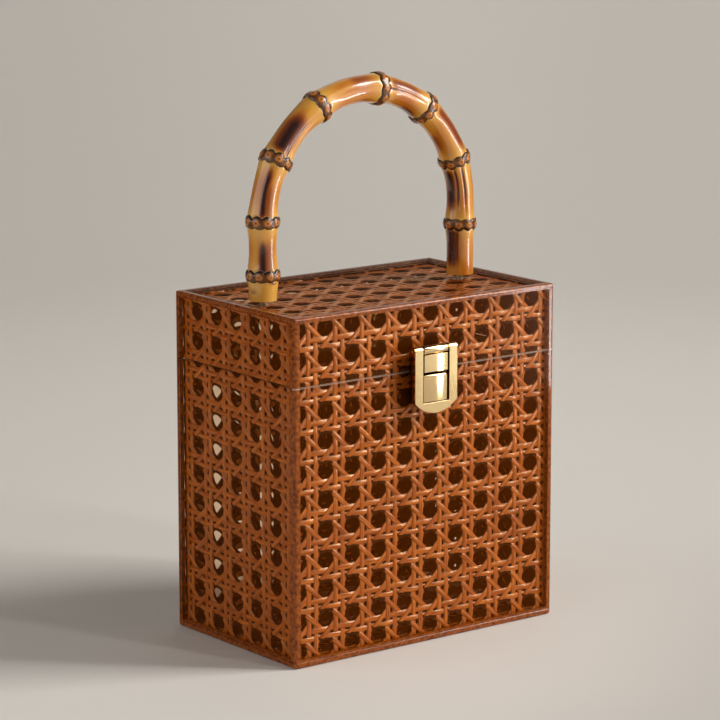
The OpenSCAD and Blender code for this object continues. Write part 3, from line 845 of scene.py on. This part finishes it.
def collar_marks(offset, turn, number):
    """Rise and stains of a collar at an offset along the cane from its middle."""
    phase = 2.4 * number
    wobble = 0.3 * MM * noise.noise(Vector((math.cos(turn) * 2, math.sin(turn) * 2, number * 5)))
    upper_scallop = abs(math.cos(SCALLOPS * turn / 2 + phase))
    lower_scallop = abs(math.cos(SCALLOPS * turn / 2 + phase + 0.9))
    upper = COLLAR_HALF * (0.62 + 0.5 * upper_scallop) + wobble
    lower = -COLLAR_HALF * (0.70 + 0.3 * lower_scallop) + wobble
    inner, outer = COLLAR_SLOPE
    above_lower = smooth(offset, lower - outer, lower + inner)
    below_upper = 1 - smooth(offset, upper - inner, upper + outer)
    inside = above_lower * below_upper
    line = max(bell(offset - upper, UPPER_LINE), 0.9 * bell(offset - lower, LOWER_LINE))
    step = math.tau / SCALLOPS
    swing = ((turn + 2 * phase / SCALLOPS + step / 2) % step - step / 2) * CANE_RADIUS
    reach = math.hypot(swing, offset - 0.2 * MM)
    bud, pit = bell(reach, BUD_REACH), bell(reach, PIT_REACH)
    rise = inside * (COLLAR_RISE + BUD_RISE * bud - 0.7 * BUD_RISE * pit) - LINE_DEPTH * line
    return rise, (inside, line, pit * inside, bud * inside)


print(f"a collar rises by {collar_marks(0, 0, 0)[0] / MM:.2f} mm at its first bud")


# %% The marks on a point of the bamboo
def stretch_of(run):
    """Which stretch between collars a point lies in, and how far along it, from 0 to 1."""
    marks = [0, *COLLARS, CANE_LENGTH]
    number = max(k for k in range(len(marks) - 1) if marks[k] <= run + 1e-9)
    return number, (run - marks[number]) / (marks[number + 1] - marks[number])


def angle_between(turn, degrees):
    return abs((math.degrees(turn) - degrees + 180) % 360 - 180)


def bamboo_marks(run, turn):
    """Radius of the cane and its stains at a run along it and a turn round it."""
    gaps = [run - collar for collar in COLLARS]
    number = min(range(len(gaps)), key=lambda k: abs(gaps[k]))
    rise, stains = collar_marks(gaps[number], turn, number)
    lumps = LUMP_RISE * noise.noise(
        Vector((math.cos(turn) * 1.5, math.sin(turn) * 1.5, run / LUMP_LENGTH))
    )
    radius = CANE_RADIUS + FLARE * bell(gaps[number], FLARE_LENGTH) + lumps + rise
    stretch, share = stretch_of(run)
    drift = 3 * noise.noise(Vector((run / (9 * MM), stretch * 3.1, 0)))
    scorch = 0
    for place, middle, half, depth, start, end in STREAKS:
        if place == stretch:
            length = smooth(share, start, start + 0.15) * (1 - smooth(share, end - 0.3, end + 0.02))
            width = bell(angle_between(turn, middle + drift), 1.2 * half)
            scorch = max(scorch, depth * length * width)
    furrow = 0
    for place, middle, half in GROOVES:
        if place == stretch:
            fade = smooth(share, 0.02, 0.1) * (1 - smooth(share, 0.6, 0.95)) * (1 - stains[0])
            furrow = max(furrow, fade * bell(angle_between(turn, middle), half))
    pale = 1 if stretch == 0 else bell(gaps[number], PALE_REACH)
    return radius - GROOVE_DEPTH * furrow, (scorch, pale, *stains)


thick = [2 * bamboo_marks(run, 0)[0] / MM for run in (COLLARS[3], (COLLARS[3] + COLLARS[4]) / 2)]
print(f"the cane is {thick[0]:.1f} mm thick at a collar and {thick[1]:.1f} mm between two")

# %% Roll the bamboo
BAMBOO_LAYERS = ("scorch", "pale", "collar", "line", "pit", "bud", "run", "side")


def stations():
    """Runs along the cane at which its grid has a row, close together at a collar."""
    runs, run = [], 0
    while run < CANE_LENGTH:
        runs.append(run)
        near = min(abs(run - collar) for collar in COLLARS)
        run += FINE_STEP if near < FINE_REACH else COARSE_STEP
    return [*runs, CANE_LENGTH]


def arch_place(run):
    """The arch's middle line at a run from its left foot, and the direction away from its centre."""
    turn = min(math.pi, max(0, (run - ARCH_LEG) / ARCH_RADIUS))
    leg = min(run, ARCH_LEG, CANE_LENGTH - run)
    away = Vector((-math.cos(turn), 0, math.sin(turn)))
    return Vector((0, ARCH_BACK, box_top + leg)) + ARCH_RADIUS * away, away


def bamboo_shape():
    shape = bmesh.new()
    layers = [shape.verts.layers.float.new(name) for name in BAMBOO_LAYERS]
    runs = stations()
    bmesh.ops.create_grid(shape, x_segments=len(runs) - 1, y_segments=BAMBOO_SIDES, size=0.5)
    for vert in shape.verts:
        run = runs[round((vert.co.x + 0.5) * (len(runs) - 1))]
        turn = math.tau * (vert.co.y + 0.5)
        radius, marks = bamboo_marks(run, turn)
        middle, away = arch_place(run)
        vert.co = middle + radius * (math.cos(turn) * away + math.sin(turn) * Vector((0, 1, 0)))
        for layer, value in zip(layers, (*marks, run, math.cos(turn))):
            vert[layer] = value
    bmesh.ops.remove_doubles(shape, verts=shape.verts, dist=MERGE)
    open_ends = [edge for edge in shape.edges if edge.is_boundary]
    bmesh.ops.holes_fill(shape, edges=open_ends, sides=0)
    bmesh.ops.recalc_face_normals(shape, faces=shape.faces)
    return shape


print("the grid has", len(stations()), "rows along the cane and", BAMBOO_SIDES, "sides")


# %% Bamboo finish
def bamboo_finish():
    finish = Finish("varnished_bamboo")
    scorch, pale = finish.attribute("scorch"), finish.attribute("pale")
    collar, line = finish.attribute("collar"), finish.attribute("line")
    pit, bud = finish.attribute("pit"), finish.attribute("bud")
    run, side = finish.attribute("run"), finish.attribute("side")
    _, y, _ = finish.axes(finish.place())
    fibre = finish.noise(finish.vector(run * 60, side * 16, y * 1400), 1.0, 3.0, 0.6)
    cloud = finish.noise(finish.vector(run * 45, side * 1.4, y * 160), 1.0, 2.0)
    honey = finish.mix(finish.step(cloud, 0.3, 0.75), colour(224, 152, 50), colour(198, 110, 22))
    grained = finish.mix(finish.step(fibre, 0.45, 0.8) * 0.4, honey, colour(164, 84, 14))
    yellow = finish.mix(pale * 0.75, grained, colour(242, 186, 82))
    amber = finish.mix(finish.step(scorch + cloud * 0.2 - 0.1, 0.0, 0.7), yellow, colour(140, 58, 8))
    burnt = finish.mix(finish.step(scorch + fibre * 0.2 - 0.1, 0.45, 1.08), amber, colour(30, 10, 3))
    speck = finish.noise(finish.place(), 900, 3.0, 0.6)
    # Lighter copper on the buds: partly their own colour, partly a painted highlight on the raised
    # bumps
    bud_tone_and_highlight = finish.step(bud + speck * 0.7, 0.3, 0.9)
    copper = finish.mix(bud_tone_and_highlight, colour(66, 27, 8), colour(206, 122, 48))
    ringed = finish.mix(collar * 0.95, burnt, copper)
    dark = finish.step(line + speck * 0.3, 0.55, 0.9).largest(pit * 0.9)
    final = finish.mix(dark, ringed, colour(20, 8, 3))
    shader = finish.surface(
        Base_Color=final,
        Roughness=0.2 + fibre * 0.12,
        Coat_Weight=1 - collar * 0.65,
        Coat_Roughness=0.03,
        Normal=finish.bump(fibre + collar * speck * 4, 0.1, 0.1 * MM),
    )
    return finish.done(shader)


handle = piece("bamboo_arch", bamboo_shape(), bamboo_finish(), "lid", ["bamboo_handle"])
print(handle.name, len(handle.data.polygons), "faces")

# %% [markdown]
# ## Gold hardware
# The hasp and hinges are cast, polished and plated in pale gold. Polished metal shows little colour of
# its own: it shows the room, tinted. A slight waver in its roughness and surface keeps the reflections
# from looking like glass. On the hasp the low places are painted darker, as painted shade in its gaps
# and recesses, and its two blocks are crowned a little from side to side, which turns the reflection
# of a lamp into an upright streak.

# %% Gold and steel finishes
RECESS_SHADE_FROM, RECESS_SHADE_TO = 0.5 * MM, 1.3 * MM
RECESS_SHADE_SHARE = 0.85
BLOCK_CROWN = 16


def gold_finish(name, crown, face):
    """Gold plate, painted darker behind the depth of a face, as painted shade. The crown is the face's
    bend for each metre.
    """
    finish = Finish(name)
    x, y, _ = finish.axes(finish.place())
    waver = finish.noise(finish.place(), 160, 2.0)
    rub = finish.noise(finish.place(), 2600, 2.0, 0.6)
    bright = finish.mix(waver, colour(244, 216, 166), colour(234, 200, 142))
    # Painted shade: darker in the recesses that lie behind the face
    recess_shade = finish.step(y, face + RECESS_SHADE_FROM, face + RECESS_SHADE_TO)
    tint = finish.mix(recess_shade * RECESS_SHADE_SHARE, bright, colour(112, 70, 26))
    height = waver * (0.016 * MM) - x * x * (crown / 2)
    shader = finish.surface(
        Base_Color=tint,
        Metallic=1.0,
        Roughness=0.05 + rub * 0.05,
        Normal=finish.bump(height, 1.0, 1.0),
    )
    return finish.done(shader)


def steel_finish():
    finish = Finish("plated_steel")
    x, y, z = finish.axes(finish.place())
    brushed = finish.noise(finish.vector(x * 300, y * 300, z * 4000), 1.0, 3.0, 0.6)
    tint = finish.mix(brushed, colour(176, 174, 170), colour(206, 204, 200))
    return finish.done(finish.surface(Base_Color=tint, Metallic=1.0, Roughness=0.24 + brushed * 0.2))


hasp_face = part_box("hasp_lever")[0].y
GOLD, LEVER_GOLD = gold_finish("pale_gold", 0, half_depth), gold_finish("lever_gold", 0, hasp_face)
CROWNED_GOLD, STEEL = gold_finish("crowned_gold", BLOCK_CROWN, hasp_face), steel_finish()
print("finishes:", GOLD.name, LEVER_GOLD.name, CROWNED_GOLD.name, STEEL.name)

# %% [markdown]
# The CAD blocks of the hasp lie lower than the real ones, whose domed faces stand nearly flush with the
# lever. So the polished copies of the two plates have these faces drawn outwards, and the knuckle round
# the pin is left as it is.

# %% Dress the hardware
SOFTENED_GOLD = {
    "hasp_lid_plate": ("lid", 0.25 * MM),
    "hasp_lever": ("hasp", 0.4 * MM),
    "hasp_catch": ("box", 0.25 * MM),
    "hinge_left_body_leaf": ("box", 0.15 * MM),
    "hinge_right_body_leaf": ("box", 0.15 * MM),
    "hinge_left_lid_leaf": ("lid", 0.15 * MM),
    "hinge_right_lid_leaf": ("lid", 0.15 * MM),
}
# How many times as far the face of a block stands out of its plate once it is domed and polished
PROUD_FACES = {"hasp_lid_plate": 1.42, "hasp_catch": 2.2}
PLATE_THICKNESS = 1.5 * MM
KNUCKLE_WALL = 1.2 * MM
LOWEST_BLOCK = 0.3 * MM
plate_face = PLATE_THICKNESS + half_depth
knuckle_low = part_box("hasp_pin")[0].z - KNUCKLE_WALL


def raise_face(shape, times):
    for vert in shape.verts:
        out = -vert.co.y - plate_face
        if out > LOWEST_BLOCK and vert.co.z < knuckle_low:
            vert.co.y = -plate_face - times * out


for node, (body, width) in SOFTENED_GOLD.items():
    finish = LEVER_GOLD if node == "hasp_lever" else CROWNED_GOLD if node in PROUD_FACES else GOLD
    shape = softened(node, width)
    if node in PROUD_FACES:
        raise_face(shape, PROUD_FACES[node])
    part = piece(f"{node}_polished", shape, finish, body, [node])
    print(part.name, len(part.data.polygons), "faces")

# %% Finishes on the CAD pieces that stay
STAYING = {
    GOLD: [
        "hasp_pin", "hasp_lid_rivets", "hasp_catch_rivets",
        "hinge_left_pin", "hinge_right_pin", "hinge_body_rivets", "hinge_lid_rivets",
    ],
    STEEL: ["handle_screws", "handle_washers"],
}
for material, names in STAYING.items():
    for name in names:
        cad_nodes[name].data.materials.clear()
        cad_nodes[name].data.materials.append(material)
print(sum(len(names) for names in STAYING.values()), "CAD pieces keep their form and take a finish")

# %% [markdown]
# ## The size
# The CAD model's box and the dressed model's box are printed side by side.

# %% Count the triangles and print the sizes
triangles = [sum(len(face.vertices) - 2 for face in made.data.polygons) for made in new_pieces]
print(f"{len(new_pieces)} new pieces, {max(triangles)} triangles at most, {sum(triangles)} in all")
visual_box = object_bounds()
sizes = {"cad": [list(corner) for corner in cad_box], "visual": [list(corner) for corner in visual_box]}
print({name: [round(high - low, 4) for low, high in zip(*box)] for name, box in sizes.items()})
